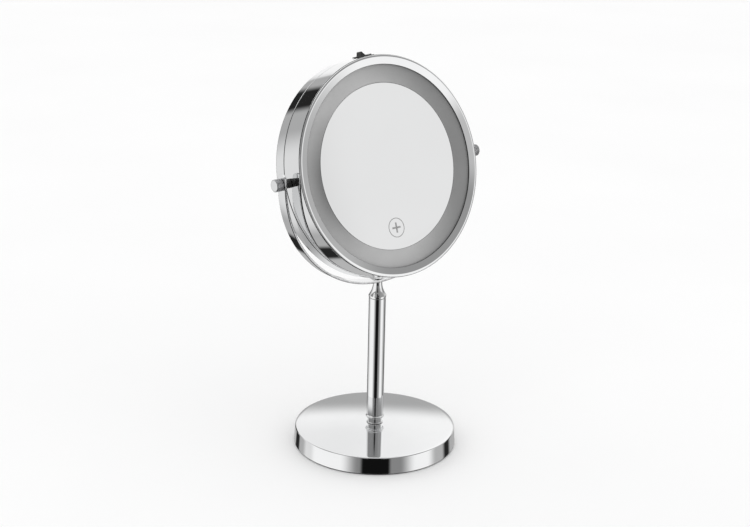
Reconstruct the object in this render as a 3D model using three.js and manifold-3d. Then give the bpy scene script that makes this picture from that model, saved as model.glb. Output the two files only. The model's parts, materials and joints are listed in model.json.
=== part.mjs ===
// A lighted table-top vanity mirror. A round drum holds a concave mirror with a frosted light ring in
// front and a plain mirror behind. The drum tilts between the ends of a half-round yoke on a stem, and
// the stem stands on a weighted round base.
// Millimetres. +Z is up, -Y is the lit side, and X is the tilt axis. The origin is the centre of the
// base's underside. Pieces that would touch are kept about 0.3 mm apart.
import * as THREE from "three";
import { mergeVertices } from "three/addons/utils/BufferGeometryUtils.js";
import Module from "manifold-3d";

const wasm = await Module();
wasm.setup();

// ---- Driving dimensions ----

const gap = 0.3;
const pivotHeight = 242;
const restTilt = THREE.MathUtils.degToRad(16);

// Drum. Depths are measured along its own axis from the tilt axis: negative is the lit side.
const drumRadius = 89.6;
const wall = 1.6;
const frontSeam = -14.5;
const rearSeam = 6;
const frontPlane = -16.3;
const rearPlane = 17.8;
const lensOpening = 81.8;
const rearOpening = 81.6;
const cornerRound = 1.7;

// Optics. Three times magnification needs a radius of curvature of about 750 mm.
const dishRadius = 750;
const dishDepth = -9;
const mirrorRadius = 67.4;
const mirrorThickness = 2.8;
const lensThickness = 2.4;
const lensRadius = 84.2;
const plainMirrorRadius = 84;

// Yoke, pivots and knobs.
const yokeRadius = 97.35;
const yokeThickness = 2;
const yokeWidth = 9.9;
const yokeTipRise = 8.4;
const screwRadius = 1.95;
const knobRadius = 5;
const knobLength = 6.6;
const spacerRadius = 3.7;

// Stem and base.
const tubeRadius = 7.2;
const tubeBore = 6;
const neckFoot = 130.5;
const footTop = 24.6;
const footBead = 7.8;
const footWaist = 6.4;
const baseTop = 17;
const baseSeat = 8;
const domeFall = 0.00033;
const baseRimHeight = 15.2;
const baseRadius = 68.9;
const baseRimRadius = 68;
const padThickness = 1.2;

// The inner body's floor, which parts the light in front from the cells behind.
const floorFront = -1.2;
const floorRear = 0.2;

// Electrics.
const ledCount = 12;
const ledCircle = 72.5;
const cellRadius = 5.25;
const cellLength = 44.5;
const cellPitch = 12.4;
const cellDepth = floorRear + gap + cellRadius;
const cellCount = 4;
const wireRadius = 0.65;

// Rocker switch, standing on top of the drum with its long side along X.
const switchSeat = drumRadius + gap;
const switchTop = switchSeat + 0.8;
const rockerPivot = 88.5;
const rockerLean = THREE.MathUtils.degToRad(15);

// Facets round a full circle, from the drum down to the small fasteners.
const drumSides = 48;
const stemSides = 24;
const smallSides = 16;

// ---- Shape helpers ----

// Makes a closed solid from a three.js geometry, with its faces pointing out.
function solid(geometry) {
  const bare = geometry.index ? geometry.toNonIndexed() : geometry.clone();
  bare.deleteAttribute("normal");
  bare.deleteAttribute("uv");
  const merged = mergeVertices(bare, 1e-4);
  const points = merged.attributes.position.array;
  const corner = (index) => new THREE.Vector3().fromArray(points, 3 * index);
  const faces = [];
  let volume = 0;
  for (let i = 0; i < merged.index.count; i += 3) {
    const [a, b, c] = [0, 1, 2].map((step) => merged.index.getX(i + step));
    if (a === b || b === c || c === a) continue;
    faces.push([a, b, c]);
    volume += corner(a).dot(corner(b).cross(corner(c)));
  }
  const turned = volume < 0 ? faces.map(([a, b, c]) => [a, c, b]) : faces;
  return new wasm.Manifold(new wasm.Mesh({
    numProp: 3,
    vertProperties: Float32Array.from(points),
    triVerts: Uint32Array.from(turned.flat()),
  }));
}

// Turns a solid back into a geometry that a mesh can show.
function geometryOf(body) {
  const mesh = body.getMesh();
  const geometry = new THREE.BufferGeometry();
  geometry.setAttribute("position", new THREE.BufferAttribute(mesh.vertProperties, 3));
  geometry.setIndex(new THREE.BufferAttribute(mesh.triVerts, 1));
  geometry.computeVertexNormals();
  return geometry;
}

// A turned solid about the Y axis. The outline lists [radius, y]; it closes on itself unless both of
// its ends are on the axis.
function turned(outline, sides) {
  const points = outline.map(([radius, y]) => new THREE.Vector2(radius, y));
  const onAxis = points[0].x === 0 && points[points.length - 1].x === 0;
  if (!onAxis) points.push(points[0].clone());
  return solid(new THREE.LatheGeometry(points, sides));
}

// The same about the Z axis, with the outline as [radius, z], and about the X axis as [radius, x].
const turnedUpright = (outline, sides) => turned(outline, sides).rotate([90, 0, 0]);
const turnedAcross = (outline, sides) => turned(outline, sides).rotate([0, 0, -90]);

// A box given by its lowest and highest corners.
function block(low, high) {
  const size = high.map((value, axis) => value - low[axis]);
  const middle = high.map((value, axis) => (value + low[axis]) / 2);
  return solid(new THREE.BoxGeometry(...size).translate(...middle));
}

// A plain round rod from one end to the other, along the named axis.
function rod(radius, from, to, axis, sides = smallSides) {
  const outline = [[0, from], [radius, from], [radius, to], [0, to]];
  if (axis === "x") return turnedAcross(outline, sides);
  return axis === "z" ? turnedUpright(outline, sides) : turned(outline, sides);
}

// Points of an arc in an outline, from one angle to the other in degrees.
function arc(centre, radius, from, to, steps) {
  const points = [];
  for (let i = 0; i <= steps; i += 1) {
    const angle = THREE.MathUtils.degToRad(from + ((to - from) * i) / steps);
    points.push([centre[0] + radius * Math.cos(angle), centre[1] + radius * Math.sin(angle)]);
  }
  return points;
}

// Place on a circle about the drum's axis: angle 0 is +X and 90 degrees is up.
function onCircle(radius, degrees) {
  const angle = THREE.MathUtils.degToRad(degrees);
  return [radius * Math.cos(angle), radius * Math.sin(angle)];
}

// Depth of the dished glass's front face at a radius.
const dish = (radius) => dishDepth - (radius * radius) / (2 * dishRadius);

// ---- Materials ----

const finish = (color, roughness, metalness) => ({ color, roughness, metalness });
const chrome = finish(0xd8dadc, 0.06, 1);
const silvering = finish(0xe4e7e8, 0.02, 1);
const frosted = finish(0xb9bbbc, 0.55, 0);
const blackPlastic = finish(0x151515, 0.4, 0);
const whitePlastic = finish(0xe9e9e6, 0.5, 0);
const steel = finish(0x9c9ea0, 0.35, 1);
const iron = finish(0x55575a, 0.7, 0.8);
const brass = finish(0xc2a25a, 0.3, 1);
const foam = finish(0x1c1c1d, 0.95, 0);
const boardGreen = finish(0xe8efe6, 0.6, 0);
const ledYellow = finish(0xf4e7a6, 0.4, 0);
const cellLabel = finish(0x3f6f9f, 0.35, 0.2);
const nickel = finish(0xbfc0bd, 0.25, 1);
const redWire = finish(0xa8231d, 0.5, 0);
const blackWire = finish(0x1b1b1b, 0.5, 0);
const whiteWire = finish(0xe6e4df, 0.5, 0);

function add(group, name, body, look) {
  const mesh = new THREE.Mesh(geometryOf(body), new THREE.MeshStandardMaterial(look));
  mesh.name = name;
  group.add(mesh);
  return mesh;
}

// ---- Stand ----

// Height of the cover's top, a low dome round the flat seat of the stem's foot.
const coverHeight = (radius) => baseTop - domeFall * (radius * radius - baseSeat * baseSeat);

// Spun steel cover with its rim turned down.
function baseCover() {
  const sheet = 1.2;
  const rimRound = 1.6;
  const hole = 3.4;
  const rings = [baseSeat, 20, 32, 42, 51, 59];
  const dome = rings.map((radius) => [radius, coverHeight(radius)]);
  const shoulder = arc([baseRimRadius - rimRound, baseRimHeight - rimRound + 0.4], rimRound, 80, 8, 3);
  const top = [[hole, baseTop], ...dome, ...shoulder];
  const rim = [[baseRadius, padThickness], [baseRadius - sheet, padThickness]];
  const inside = [51, 32].map((radius) => [radius, coverHeight(radius) - sheet]);
  const under = [
    [baseRimRadius - 2.2, baseRimHeight - rimRound - 0.4],
    ...inside,
    [hole, baseTop - sheet - 0.2],
  ];
  return turnedUpright([...top, ...rim, ...under], drumSides);
}

// Cast disc under the cover, with a pocket for the bolt's head.
function baseWeight() {
  const bottom = padThickness + gap;
  const pocket = 9;
  const pocketTop = 8;
  const plateTop = 6.6;
  const hubTop = 14.8;
  return turnedUpright([
    [3.4, pocketTop], [pocket, pocketTop], [pocket, bottom], [66.9, bottom], [66.3, plateTop],
    [18, plateTop], [11, hubTop - 1], [9, hubTop], [3.4, hubTop],
  ], drumSides);
}

// Foam pad on the underside, open in the middle round the bolt's head.
const basePad = () => turnedUpright([
  [9, 0], [67.5, 0], [67.5, padThickness - gap], [9, padThickness - gap],
], drumSides);

// Hexagon bolt from below, through the weight and the cover, into the stem's foot.
function baseBolt() {
  const head = rod(5.6, 3, 6.6, "z", 6);
  return head.add(rod(2.9, 6, 31, "z"));
}

const baseWasher = () => turnedUpright([[3.2, 6.9], [8, 6.9], [8, 7.7], [3.2, 7.7]], smallSides);

// Turned foot: a waist on the cover, a bead, and a threaded plug inside the tube.
function stemFoot() {
  const seat = baseTop + gap;
  const plug = tubeBore - gap;
  const plugTop = 36;
  const bead = footTop - 1.6;
  return turnedUpright([
    [3.1, seat], [footWaist + 0.6, seat], [footWaist, seat + 0.7], [footWaist, bead - 1.1],
    [footBead - 0.2, bead - 0.6], [footBead, bead], [footBead - 0.2, bead + 0.6],
    [tubeRadius, footTop], [plug, footTop], [plug, plugTop], [3.1, plugTop],
  ], stemSides);
}

const stemTube = () => turnedUpright([
  [tubeBore, footTop + gap], [tubeRadius, footTop + gap], [tubeRadius, neckFoot - gap],
  [tubeBore, neckFoot - gap],
], stemSides);

// Neck with a concave flare down to a rounded shoulder, and a spigot inside the tube.
function stemNeck() {
  const top = pivotHeight - yokeRadius - gap;
  const plug = tubeBore - gap;
  const threadBottom = neckFoot - 8;
  return turnedUpright([
    [2.2, top], [3.7, top], [3.8, top - 3], [4.3, top - 6], [5.3, top - 9], [7, top - 11],
    [7.5, top - 12.2], [7.2, neckFoot], [plug, neckFoot], [plug, neckFoot - 12], [0, neckFoot - 12],
    [0, threadBottom], [2.2, threadBottom],
  ], stemSides);
}

// Half-round strip with round tips at the pivots, drilled for the pivot screws and the yoke screw.
function yoke() {
  const arms = yokeRadius - yokeThickness;
  const steps = 40;
  const tipRadius = yokeWidth / 2;
  const tipCentre = yokeTipRise - tipRadius;
  const outline = [...arc([0, 0], yokeRadius, -180, 0, steps), ...arc([0, 0], arms, 0, -180, steps)];
  const shape = new THREE.Shape(outline.map(([x, z]) => new THREE.Vector2(x, z)));
  const strip = new THREE.ExtrudeGeometry(shape, { depth: yokeWidth, bevelEnabled: false });
  strip.rotateX(Math.PI / 2);
  strip.translate(0, yokeWidth / 2, 0);
  let body = solid(strip);
  for (const side of [-1, 1]) {
    const [inner, outer] = [side * arms, side * yokeRadius];
    const [low, high] = [Math.min(inner, outer), Math.max(inner, outer)];
    const straight = block([low, -tipRadius, -0.5], [high, tipRadius, tipCentre]);
    const tip = rod(tipRadius, low, high, "x", 24).translate([0, 0, tipCentre]);
    body = body.add(straight).add(tip);
  }
  const pivotHoles = rod(2.3, -110, 110, "x");
  const screwHole = rod(2.3, -110, -80, "z");
  return body.subtract(pivotHoles).subtract(screwHole).translate([0, 0, pivotHeight]);
}

// Pan-head screw through the bottom of the yoke into the neck.
function yokeScrew() {
  const seat = pivotHeight - yokeRadius + yokeThickness + gap;
  const headRadius = 3.5;
  return turnedUpright([
    [0, neckFoot - 4], [screwRadius, neckFoot - 4], [screwRadius, seat], [headRadius, seat],
    [headRadius, seat + 0.5], [2.4, seat + 1.2], [0, seat + 1.4],
  ], smallSides);
}

// ---- Head: casing and optics ----

// Room for the pivot nuts, the switch and its terminals where pieces inside the drum would meet them.
function clearFittings(body) {
  const nutRoom = 4.2;
  let open = body;
  for (const side of [-1, 1]) {
    const [low, high] = side > 0 ? [79.5, 88] : [-88, -79.5];
    open = open.subtract(block([low, -nutRoom, -nutRoom], [high, nutRoom, nutRoom]));
  }
  const switchRoom = block([-7.2, -4.9, 76.6], [7.2, 4.9, 90]);
  const terminalRoom = block([-5.6, -1.2, 66], [5.6, 4.9, 77]);
  return open.subtract(switchRoom).subtract(terminalRoom);
}

// Chrome band round the drum's side, with the two pivot holes and the switch's cut-out.
function sideBand() {
  const inner = drumRadius - wall;
  const ring = turned([
    [inner, frontSeam + gap], [drumRadius, frontSeam + gap], [drumRadius, rearSeam - gap / 2],
    [inner, rearSeam - gap / 2],
  ], drumSides);
  const pivotHoles = rod(2.4, -95, 95, "x");
  return ring.subtract(pivotHoles).subtract(block([-6.8, -4.6, 80], [6.8, 4.6, 95]));
}

// Chrome front ring: a sloping face with a rounded outer corner, and a skirt inside the band.
function frontBezel() {
  const outer = drumRadius - 0.3;
  const skirtOuter = drumRadius - wall - gap;
  const skirtInner = skirtOuter - 1.4;
  const skirtEnd = -8;
  const corner = arc([outer - cornerRound, frontPlane + cornerRound], cornerRound, -100, 0, 3);
  return turned([
    [lensOpening, frontPlane + 1.3], ...corner, [outer, frontSeam], [skirtOuter, frontSeam],
    [skirtOuter, skirtEnd], [skirtInner, skirtEnd], [skirtInner, dish(lensRadius) - gap],
    [lensOpening, dish(lensRadius) - gap],
  ], drumSides);
}

// A dished ring or disc of even thickness that follows the optical curve.
function dishedGlass(inner, outer, thickness) {
  const steps = 3;
  const front = [];
  const back = [];
  for (let i = 0; i <= steps; i += 1) {
    const radius = inner + ((outer - inner) * i) / steps;
    front.push([radius, dish(radius)]);
    back.unshift([radius, dish(radius) + thickness]);
  }
  return turned([...front, ...back], drumSides);
}

const frontMirror = () => dishedGlass(0, mirrorRadius, mirrorThickness);
const frostedRing = () => dishedGlass(mirrorRadius + gap, lensRadius, lensThickness);

// White trough behind the frosted ring. Its inner wall carries the mirror and its outer wall the ring.
function reflectorTray() {
  const floor = floorFront - gap;
  const trough = floor - 1.4;
  const mirrorSeat = dish(63) + mirrorThickness + gap;
  const ringSeat = dish(lensRadius) + lensThickness + gap + 0.1;
  const tray = turned([
    [62, mirrorSeat], [63.6, mirrorSeat], [63.6, trough], [84, trough], [84, ringSeat],
    [85.6, ringSeat], [85.6, floor], [62, floor],
  ], drumSides);
  return screwHoles(wireHoles(clearFittings(tray)));
}

const ledBoard = () => turned([[69, -4.4], [76, -4.4], [76, -3.2], [69, -3.2]], drumSides);

function led(index) {
  const chip = block([ledCircle - 1.4, -5.5, -1.75], [ledCircle + 1.4, -4.7, 1.75]);
  return chip.rotate([0, (360 / ledCount) * index + 180 / ledCount, 0]);
}

// Places of the two holes that bring wires forward to the light board.
const wireHolePlaces = [onCircle(ledCircle, 225), onCircle(ledCircle, 109.5)];

function wireHoles(body) {
  let open = body;
  for (const [x, z] of wireHolePlaces) {
    open = open.subtract(rod(2, -6, 4, "y").translate([x, 0, z]));
  }
  return open;
}

// Places of the three screws that hold the tray to the chassis.
const screwPlaces = [60, 180, 300].map((degrees) => onCircle(66.4, degrees));

function screwHoles(body) {
  let open = body;
  for (const [x, z] of screwPlaces) {
    open = open.subtract(rod(1.7, -6, 4, "y", 12).translate([x, 0, z]));
  }
  return open;
}

const chassisScrew = ([x, z]) => turned([
  [0, -5], [1.35, -5], [1.35, floorRear + gap], [2.6, floorRear + gap], [2.6, floorRear + 1],
  [1.6, floorRear + 1.6], [0, floorRear + 1.6],
], 12).translate([x, 0, z]);

// White inner body: a floor across the drum, a rim inside the casing, the battery bay's walls and
// three hooks that hold the rear cover's lugs.
const hookAngles = [30, 150, 270];
const hookInner = 78.2;

function chassis() {
  const rimOuter = drumRadius - wall - gap - 0.1;
  const rimInner = rimOuter - 1.6;
  const rimFront = -7.7;
  const rimRear = 10.8;
  let body = turned([
    [0, floorFront], [rimInner, floorFront], [rimInner, rimFront], [rimOuter, rimFront],
    [rimOuter, rimRear], [rimInner, rimRear], [rimInner, floorRear], [0, floorRear],
  ], drumSides);
  const bayWall = 1.5;
  const bayX = 1.5 * cellPitch + cellRadius + 0.9;
  const bayZ = cellLength / 2 + 4.6;
  const bayRear = 11;
  const outer = block([-bayX - bayWall, floorFront + 0.4, -bayZ - bayWall],
    [bayX + bayWall, bayRear, bayZ + bayWall]);
  const inner = block([-bayX, floorRear, -bayZ], [bayX, bayRear + 1, bayZ]);
  body = body.add(outer.subtract(inner));
  for (const side of [-1, 1]) {
    const x = side * 1.5 * cellPitch;
    body = body.subtract(block([x - 2, 7.6, -bayZ - 2], [x + 2, bayRear + 1, -bayZ + 1]));
  }
  for (const degrees of hookAngles) {
    const post = block([hookInner, floorRear - 0.4, -3], [hookInner + 2.4, 8.4, 3]);
    const finger = block([hookInner, 6.9, -3], [hookInner + 4.8, 8.4, 3]);
    body = body.add(post.add(finger).rotate([0, -degrees, 0]));
  }
  return screwHoles(wireHoles(clearFittings(body)));
}

// ---- Head: electrics ----

const cellX = (index) => (index - (cellCount - 1) / 2) * cellPitch;
const cellTurned = (index) => (index % 2 === 0 ? 1 : -1);

// AAA cell: a can with a stepped positive end. Neighbours face opposite ways.
function battery(index) {
  const bottom = -cellLength / 2;
  const shoulder = cellLength / 2 - 1.2;
  const body = turnedUpright([
    [0, bottom], [cellRadius, bottom], [cellRadius, shoulder], [1.9, shoulder],
    [1.9, cellLength / 2], [0, cellLength / 2],
  ], smallSides);
  const facing = cellTurned(index) > 0 ? body : body.rotate([180, 0, 0]);
  return facing.translate([cellX(index), cellDepth, 0]);
}

// Nickel plate across one or two cells, with a coned spring at each negative end and a pressed
// button at each positive end.
function contact(cells, end) {
  const plateInner = cellLength / 2 + 3.7;
  const plateOuter = plateInner + 0.5;
  const tipPlace = cellLength / 2 + gap;
  const xs = cells.map(cellX);
  const [low, high] = [Math.min(...xs) - 4.4, Math.max(...xs) + 4.4];
  let body = block([low, cellDepth - 4.4, plateInner], [high, cellDepth + 3.4, plateOuter]);
  for (const cell of cells) {
    const springEnd = cellTurned(cell) !== end;
    const [foot, tip] = springEnd ? [3.8, 2.4] : [2.2, 1.2];
    const stud = turnedUpright([[0, tipPlace], [tip, tipPlace], [foot, plateInner + 0.1],
      [0, plateInner + 0.1]], 14);
    body = body.add(stud.translate([cellX(cell), cellDepth, 0]));
  }
  return end > 0 ? body : body.mirror([0, 0, 1]);
}

// Insulated wire through its own points.
function wire(points) {
  const path = new THREE.CatmullRomCurve3(points.map((point) => new THREE.Vector3(...point)));
  const section = new THREE.Shape(arc([0, 0], wireRadius, 0, 300, 5).map(([x, y]) => new THREE.Vector2(x, y)));
  return solid(new THREE.ExtrudeGeometry(section, { steps: 18, bevelEnabled: false, extrudePath: path }));
}

// Black rocker switch body: a flange bent to the drum, a housing below it and a pocket for the rocker.
function switchBody() {
  const halfDepth = 5.25;
  const flangeSides = 360;
  const flange = rod(switchTop, -halfDepth, halfDepth, "y", flangeSides)
    .subtract(rod(switchSeat, -halfDepth - 1, halfDepth + 1, "y", flangeSides))
    .intersect(block([-7.5, -halfDepth, switchSeat - 1], [7.5, halfDepth, switchTop + 1]));
  const housing = block([-6.4, -4.2, 78], [6.4, 4.2, switchSeat + 0.2]);
  const pocket = block([-6.1, -3.7, rockerPivot - 3.9], [6.1, 3.7, switchTop + 1]);
  return flange.add(housing).subtract(pocket);
}

// Rocker with a hollowed top, made about its own pivot.
function rocker() {
  const halfWidth = 3.4;
  const shape = new THREE.Shape([
    [-2, -2.6], [2, -2.6], [5, 0.2], [5, 4.5], [2.5, 3], [0, 2.4], [-2.5, 3], [-5, 4.5], [-5, 0.2],
  ].map(([x, z]) => new THREE.Vector2(x, z)));
  const body = new THREE.ExtrudeGeometry(shape, { depth: 2 * halfWidth, bevelEnabled: false });
  body.rotateX(Math.PI / 2);
  body.translate(0, halfWidth, 0);
  return solid(body);
}

const terminal = (side) => block([side * 3 - 1.6, -0.4, 71.8], [side * 3 + 1.6, 0.4, 78 - gap]);

// ---- Pivots and knobs, made for the +X side ----

// Moves a +X piece to the named side.
const toSide = (body, side) => (side > 0 ? body : body.mirror([1, 0, 0]));

const pivotNut = (side) => toSide(turnedAcross([
  [2.2, 81], [3.9, 81], [3.9, drumRadius - wall - 2 * gap], [2.2, drumRadius - wall - 2 * gap],
], 12), side);

// Black nylon spacer between the drum and the yoke, with one groove near the yoke.
function spacer(side) {
  const from = drumRadius + gap;
  const to = yokeRadius - yokeThickness - gap;
  return toSide(turnedAcross([
    [2.2, from], [spacerRadius, from], [spacerRadius, to - 1.9], [spacerRadius - 0.6, to - 1.6],
    [spacerRadius - 0.6, to - 1.1], [spacerRadius, to - 0.8], [spacerRadius, to], [2.2, to],
  ], smallSides), side);
}

const knobFrom = yokeRadius + gap;
const knobTo = knobFrom + knobLength;

// Thumb knob with chamfered ends and a blind bore for the screw.
const knob = (side) => toSide(turnedAcross([
  [2.2, knobFrom], [4.3, knobFrom], [knobRadius, knobFrom + 0.6], [knobRadius, knobTo - 0.6],
  [knobRadius - 0.6, knobTo], [0, knobTo], [0, knobTo - 1.5], [2.2, knobTo - 1.5],
], 24), side);

const pivotScrew = (side) => toSide(rod(screwRadius, 82, knobTo - 1.8, "x"), side);

// ---- Rear cover ----

// Chrome rear ring with a rounded outer corner and a lip over the plain mirror.
function rearBezel() {
  const inner = drumRadius - wall;
  const round = 2.2;
  const corner = arc([drumRadius - round, rearPlane - round], round, 0, 100, 3);
  return turned([
    [inner, rearSeam + gap / 2], [drumRadius, rearSeam + gap / 2], ...corner,
    [rearOpening, rearPlane - 0.9], [rearOpening, rearPlane - 1.8], [inner - 1, rearPlane - 1.8],
    [inner, rearPlane - 3.2],
  ], drumSides);
}

const rearMirror = () => turned([
  [0, 12.9], [plainMirrorRadius, 12.9], [plainMirrorRadius, rearPlane - 2.1], [0, rearPlane - 2.1],
], drumSides);

// White carrier behind the plain mirror, with a skirt and three bayonet lugs under the hooks.
function rearPlate() {
  const skirtOuter = 85;
  const skirtInner = 83.6;
  const flange = drumRadius - wall - gap;
  let body = turned([
    [0, 11.4], [skirtInner, 11.4], [skirtInner, 5.1], [skirtOuter, 5.1], [skirtOuter, 11.4],
    [flange, 11.4], [flange, 12.6], [0, 12.6],
  ], drumSides);
  for (const degrees of hookAngles) {
    const lug = block([hookInner + 2.8, 5.1, -2.6], [skirtInner + 0.5, 6.5, 2.6]);
    body = body.add(lug.rotate([0, -degrees, 0]));
  }
  return body;
}

// ---- Assembly ----

const mirror = new THREE.Group();

const stand = new THREE.Group();
mirror.add(stand);
add(stand, "base_cover", baseCover(), chrome);
add(stand, "base_weight", baseWeight(), iron);
add(stand, "base_pad", basePad(), foam);
add(stand, "base_bolt", baseBolt(), steel);
add(stand, "base_washer", baseWasher(), steel);
add(stand, "stem_foot", stemFoot(), chrome);
add(stand, "stem_tube", stemTube(), chrome);
add(stand, "stem_neck", stemNeck(), chrome);
add(stand, "yoke", yoke(), chrome);
add(stand, "yoke_screw", yokeScrew(), chrome);

// The head group carries the tilt that the mirror is left at.
const head = new THREE.Group();
head.position.z = pivotHeight;
head.rotation.x = -restTilt;
mirror.add(head);
add(head, "side_band", sideBand(), chrome);
add(head, "front_bezel", frontBezel(), chrome);
add(head, "front_mirror", frontMirror(), silvering);
add(head, "frosted_ring", frostedRing(), frosted);
add(head, "reflector_tray", reflectorTray(), whitePlastic);
add(head, "led_board", ledBoard(), boardGreen);
for (let i = 0; i < ledCount; i += 1) {
  add(head, `led_${String(i + 1).padStart(2, "0")}`, led(i), ledYellow);
}
add(head, "chassis", chassis(), whitePlastic);
screwPlaces.forEach((place, i) => add(head, `chassis_screw_${i + 1}`, chassisScrew(place), steel));
for (let i = 0; i < cellCount; i += 1) add(head, `battery_${i + 1}`, battery(i), cellLabel);
add(head, "contact_top_left", contact([0, 1], 1), nickel);
add(head, "contact_top_right", contact([2, 3], 1), nickel);
add(head, "contact_bottom_left", contact([0], -1), nickel);
add(head, "contact_bottom_middle", contact([1, 2], -1), nickel);
add(head, "contact_bottom_right", contact([3], -1), nickel);
add(head, "switch_body", switchBody(), blackPlastic);
add(head, "switch_terminal_left", terminal(-1), brass);
add(head, "switch_terminal_right", terminal(1), brass);

const [lowHole, highHole] = wireHolePlaces;
const wireLevel = 3.4;
const outerCell = 1.5 * cellPitch;
const wireStart = -cellLength / 2 - 4.8;
add(head, "wire_red", wire([
  [outerCell, 9, wireStart], [outerCell, 8.8, wireStart - 3], [29, 5.6, wireStart - 5],
  [38, wireLevel, -14], [38, wireLevel, 20], [26, wireLevel, 48], [8, wireLevel, 60],
  [3, 2.2, 66.5], [3, 0.2, 70], [3, 0, 71.3],
]), redWire);
add(head, "wire_black", wire([
  [-outerCell, 9, wireStart], [-outerCell, 8.8, wireStart - 3], [-27, 5.6, wireStart - 8],
  [-40, wireLevel, -42], [lowHole[0] + 2.4, 3, lowHole[1] + 2], [lowHole[0], 0.4, lowHole[1]],
  [lowHole[0], -2.7, lowHole[1]],
]), blackWire);
add(head, "wire_white", wire([
  [-3, 0, 71.3], [-3, 0.2, 70], [-3, 2.2, 66.5], [-7, wireLevel, 62], [-16, wireLevel, 61],
  [highHole[0] + 1.4, 3, highHole[1] - 2.4], [highHole[0], 0.4, highHole[1]],
  [highHole[0], -2.7, highHole[1]],
]), whiteWire);

for (const [name, side] of [["left", -1], ["right", 1]]) {
  add(head, `${name}_pivot_nut`, pivotNut(side), brass);
  add(head, `${name}_spacer`, spacer(side), blackPlastic);
  add(head, `${name}_pivot_screw`, pivotScrew(side), steel);
  add(head, `${name}_knob`, knob(side), chrome);
}

// The rocker leans on its own pivot, with its -X end up: the off position.
const rockerGroup = new THREE.Group();
rockerGroup.position.z = rockerPivot;
rockerGroup.rotation.y = rockerLean;
head.add(rockerGroup);
add(rockerGroup, "rocker", rocker(), blackPlastic);

add(head, "rear_bezel", rearBezel(), chrome);
add(head, "rear_mirror", rearMirror(), silvering);
add(head, "rear_plate", rearPlate(), whitePlastic);

export default mirror;
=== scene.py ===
"""Looks of the lighted vanity mirror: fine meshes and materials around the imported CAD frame."""
import json
import math

import bmesh
import bpy
from mathutils import Matrix, Vector


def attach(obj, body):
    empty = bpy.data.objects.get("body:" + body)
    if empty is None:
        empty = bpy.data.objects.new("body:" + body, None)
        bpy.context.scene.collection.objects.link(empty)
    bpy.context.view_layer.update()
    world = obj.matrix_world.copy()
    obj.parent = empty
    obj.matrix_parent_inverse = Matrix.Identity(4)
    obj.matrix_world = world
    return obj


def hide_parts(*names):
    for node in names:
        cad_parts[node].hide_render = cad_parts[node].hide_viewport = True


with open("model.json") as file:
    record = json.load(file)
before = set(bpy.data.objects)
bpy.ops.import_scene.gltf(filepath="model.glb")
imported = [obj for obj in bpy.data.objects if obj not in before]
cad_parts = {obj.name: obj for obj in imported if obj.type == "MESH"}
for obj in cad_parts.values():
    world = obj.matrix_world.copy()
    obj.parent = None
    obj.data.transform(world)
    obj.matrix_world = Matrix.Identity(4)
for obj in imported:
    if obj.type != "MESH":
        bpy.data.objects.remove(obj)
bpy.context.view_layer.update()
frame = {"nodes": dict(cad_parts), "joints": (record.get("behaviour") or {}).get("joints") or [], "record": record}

# ---- Places read from the frame, in millimetres ----

MM = 0.001
TINY = 1e-6
joints = {joint["name"]: joint for joint in frame["joints"]}
pivot = Vector(joints["head_tilt"]["pos_m"])
drum_axis = Vector(joints["rear_cover_twist"]["axis"])
rest_tilt = math.atan2(-drum_axis.z, drum_axis.y)
HEAD = Matrix.Translation(pivot) @ Matrix.Rotation(-rest_tilt, 4, "X")
STAND = Matrix.Identity(4)
AT_PIVOT = Matrix.Translation((0, 0, pivot.z))
ROCKER = Matrix.Translation(joints["rocker_press"]["pos_m"]) @ Matrix.Rotation(-rest_tilt, 4, "X")


def spans(node, place=HEAD):
    """Lowest and highest corner of a CAD node in a turned frame, in millimetres."""
    back = place.inverted()
    points = [back @ vertex.co for vertex in frame["nodes"][node].data.vertices]
    low = [min(point[i] for point in points) / MM for i in range(3)]
    high = [max(point[i] for point in points) / MM for i in range(3)]
    return low, high


def ring_span(node):
    """Inner radius, outer radius, front and back of a CAD ring about the drum's axis."""
    back = HEAD.inverted()
    points = [back @ vertex.co / MM for vertex in frame["nodes"][node].data.vertices]
    radii = [math.hypot(point.x, point.z) for point in points]
    return min(radii), max(radii), min(point.y for point in points), max(point.y for point in points)


DRUM = spans("side_band")[1][0]
BAND_FRONT, BAND_BACK = ring_span("side_band")[2:]
BEZEL_IN, BEZEL_OUT, BEZEL_FRONT, BEZEL_END = ring_span("front_bezel")
REAR_IN, REAR_OUT, REAR_FRONT, REAR_BACK = ring_span("rear_bezel")
MIRROR_RADIUS = ring_span("front_mirror")[1]
MIRROR_BACK = ring_span("front_mirror")[3]
LENS_IN, LENS_OUT, LENS_FRONT, LENS_BACK = ring_span("frosted_ring")
PIVOT_HEIGHT = pivot.z / MM

# ---- Shapes ----

RING_SIDES = 288
STEM_SIDES = 96
SMALL_SIDES = 64
FILLET_STEPS = 6
SHARP = math.radians(32)
WELD = 1e-5
BORE_SIDES = 48


def rounded(outline, closed=True):
    """An outline of (radius, height, fillet) points with each corner rounded by its fillet."""
    result = []
    count = len(outline)
    for i, (radius, height, fillet) in enumerate(outline):
        here = Vector((radius, height))
        at_end = not closed and i in (0, count - 1)
        if fillet <= 0 or at_end:
            result.append(here)
            continue
        before = Vector(outline[i - 1][:2]) - here
        after = Vector(outline[(i + 1) % count][:2]) - here
        half = before.angle(after) / 2
        reach = min(fillet / math.tan(half), 0.49 * before.length, 0.49 * after.length)
        size = reach * math.tan(half)
        start = here + before.normalized() * reach
        end = here + after.normalized() * reach
        middle = here + (before.normalized() + after.normalized()).normalized() * (size / math.sin(half))
        turn = (start - middle).angle_signed(end - middle)
        for step in range(FILLET_STEPS + 1):
            angle = -turn * step / FILLET_STEPS
            arm = start - middle
            result.append(middle + Vector((
                arm.x * math.cos(angle) - arm.y * math.sin(angle),
                arm.x * math.sin(angle) + arm.y * math.cos(angle),
            )))
    return result


made = []


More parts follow.
